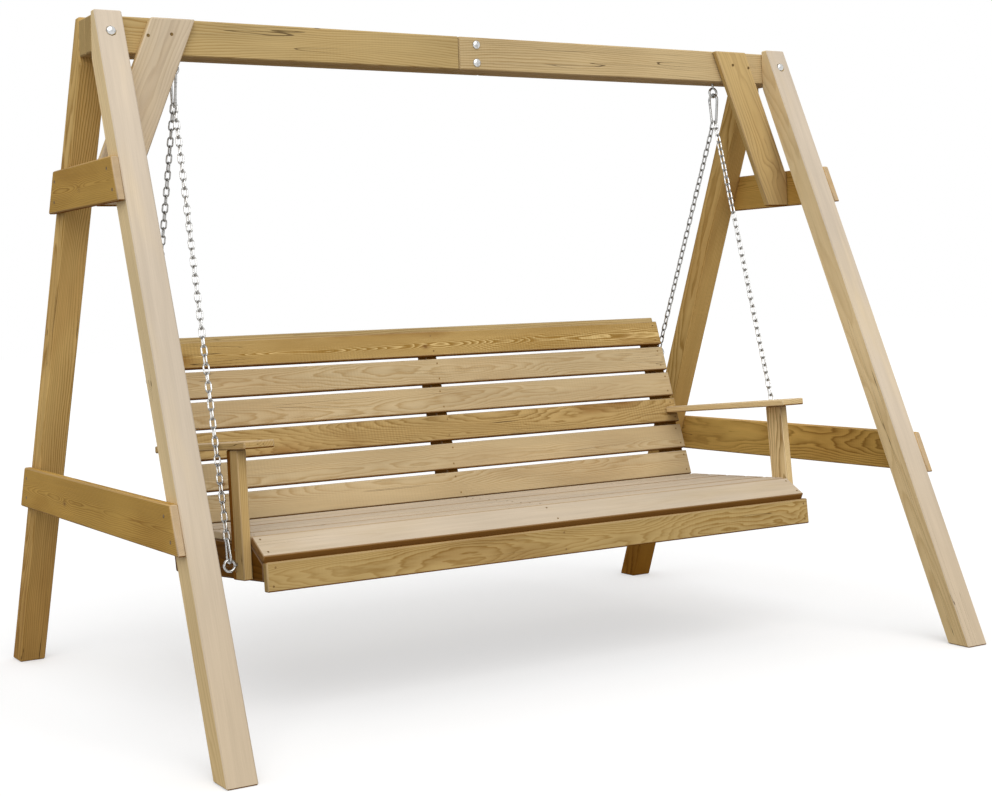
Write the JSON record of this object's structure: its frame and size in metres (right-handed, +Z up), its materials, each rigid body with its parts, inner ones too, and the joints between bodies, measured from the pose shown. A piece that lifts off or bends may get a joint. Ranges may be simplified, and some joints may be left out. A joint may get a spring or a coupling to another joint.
{
  "type": "garden swing bench",
  "caption": "Slatted timber bench with back and armrests, hung on chains and carabiners from the beam of a splayed timber frame.",
  "frame": {"origin": "on the ground under the middle of the beam", "axes": "+X along the beam to the right end as seen from the front, +Y towards the back, +Z up"},
  "size_m": [2.1948, 1.5866, 1.689],
  "materials": {
    "timber": "matt planed softwood, pressure treated",
    "zinc_steel": "bright zinc plate",
    "chain": "bright zinc plate"
  },
  "bodies": {
    "frame": {"front_plank_left": "timber", "front_plank_right": "timber", "rear_plank_left": "timber", "rear_plank_right": "timber", "front_left_leg": "timber", "front_right_leg": "timber", "rear_left_leg": "timber", "rear_right_leg": "timber", "lower_left_tie": "timber", "lower_right_tie": "timber", "upper_left_tie": "timber", "upper_right_tie": "timber", "left_brace": "timber", "right_brace": "timber", "left_leg_bolt": "zinc_steel", "right_leg_bolt": "zinc_steel", "upper_splice_bolt": "zinc_steel", "lower_splice_bolt": "zinc_steel", "left_beam_eye": "zinc_steel", "right_beam_eye": "zinc_steel"},
    "swing": {"left_carabiner": "zinc_steel", "right_carabiner": "zinc_steel", "front_left_chain": "chain", "rear_left_chain": "chain", "front_right_chain": "chain", "rear_right_chain": "chain", "left_snap_hook": "zinc_steel", "right_snap_hook": "zinc_steel", "front_left_bench_eye": "zinc_steel", "front_right_bench_eye": "zinc_steel", "rear_left_bench_eye": "zinc_steel", "rear_right_bench_eye": "zinc_steel", "left_seat_rail": "timber", "middle_seat_rail": "timber", "right_seat_rail": "timber", "left_upright": "timber", "middle_upright": "timber", "right_upright": "timber", "back_slat_1": "timber", "back_slat_2": "timber", "back_slat_3": "timber", "back_slat_4": "timber", "back_slat_5": "timber", "back_slat_6": "timber", "back_cap": "timber", "front_seat_slat": "timber", "seat_slat_1": "timber", "seat_slat_2": "timber", "seat_slat_3": "timber", "seat_slat_4": "timber", "seat_slat_5": "timber", "apron": "timber", "left_arm_post": "timber", "right_arm_post": "timber", "left_armrest": "timber", "right_armrest": "timber"},
    "left_carabiner_gate": {"left_carabiner_gate": "zinc_steel"},
    "right_carabiner_gate": {"right_carabiner_gate": "zinc_steel"},
    "left_snap_hook_gate": {"left_snap_hook_gate": "zinc_steel"},
    "right_snap_hook_gate": {"right_snap_hook_gate": "zinc_steel"}
  },
  "joints": [
    {"name": "swing_hang", "type": "hinge", "parent": "frame", "child": "swing", "pos_m": [0, 0, 1.5493], "axis": [1, 0, 0], "range_deg": [-28, 28]},
    {"name": "left_carabiner_gate_hinge", "type": "hinge", "parent": "swing", "child": "left_carabiner_gate", "pos_m": [-0.8555, -0.0077, 1.4815], "axis": [-1, 0, 0], "range_deg": [0, 25], "stiffness_Nm_per_rad": 0.05, "springref_deg": -11.46},
    {"name": "right_carabiner_gate_hinge", "type": "hinge", "parent": "swing", "child": "right_carabiner_gate", "pos_m": [0.8555, 0.0077, 1.4815], "axis": [1, 0, 0], "range_deg": [0, 25], "stiffness_Nm_per_rad": 0.05, "springref_deg": -11.46},
    {"name": "left_snap_hook_gate_hinge", "type": "hinge", "parent": "swing", "child": "left_snap_hook_gate", "pos_m": [-0.8555, -0.2712, 0.41375], "axis": [-1, 0, 0], "range_deg": [0, 22], "stiffness_Nm_per_rad": 0.03, "springref_deg": -11.46},
    {"name": "right_snap_hook_gate_hinge", "type": "hinge", "parent": "swing", "child": "right_snap_hook_gate", "pos_m": [0.8555, -0.27976, 0.41595], "axis": [1, 0, 0], "range_deg": [0, 22], "stiffness_Nm_per_rad": 0.03, "springref_deg": -11.46}
  ]
}
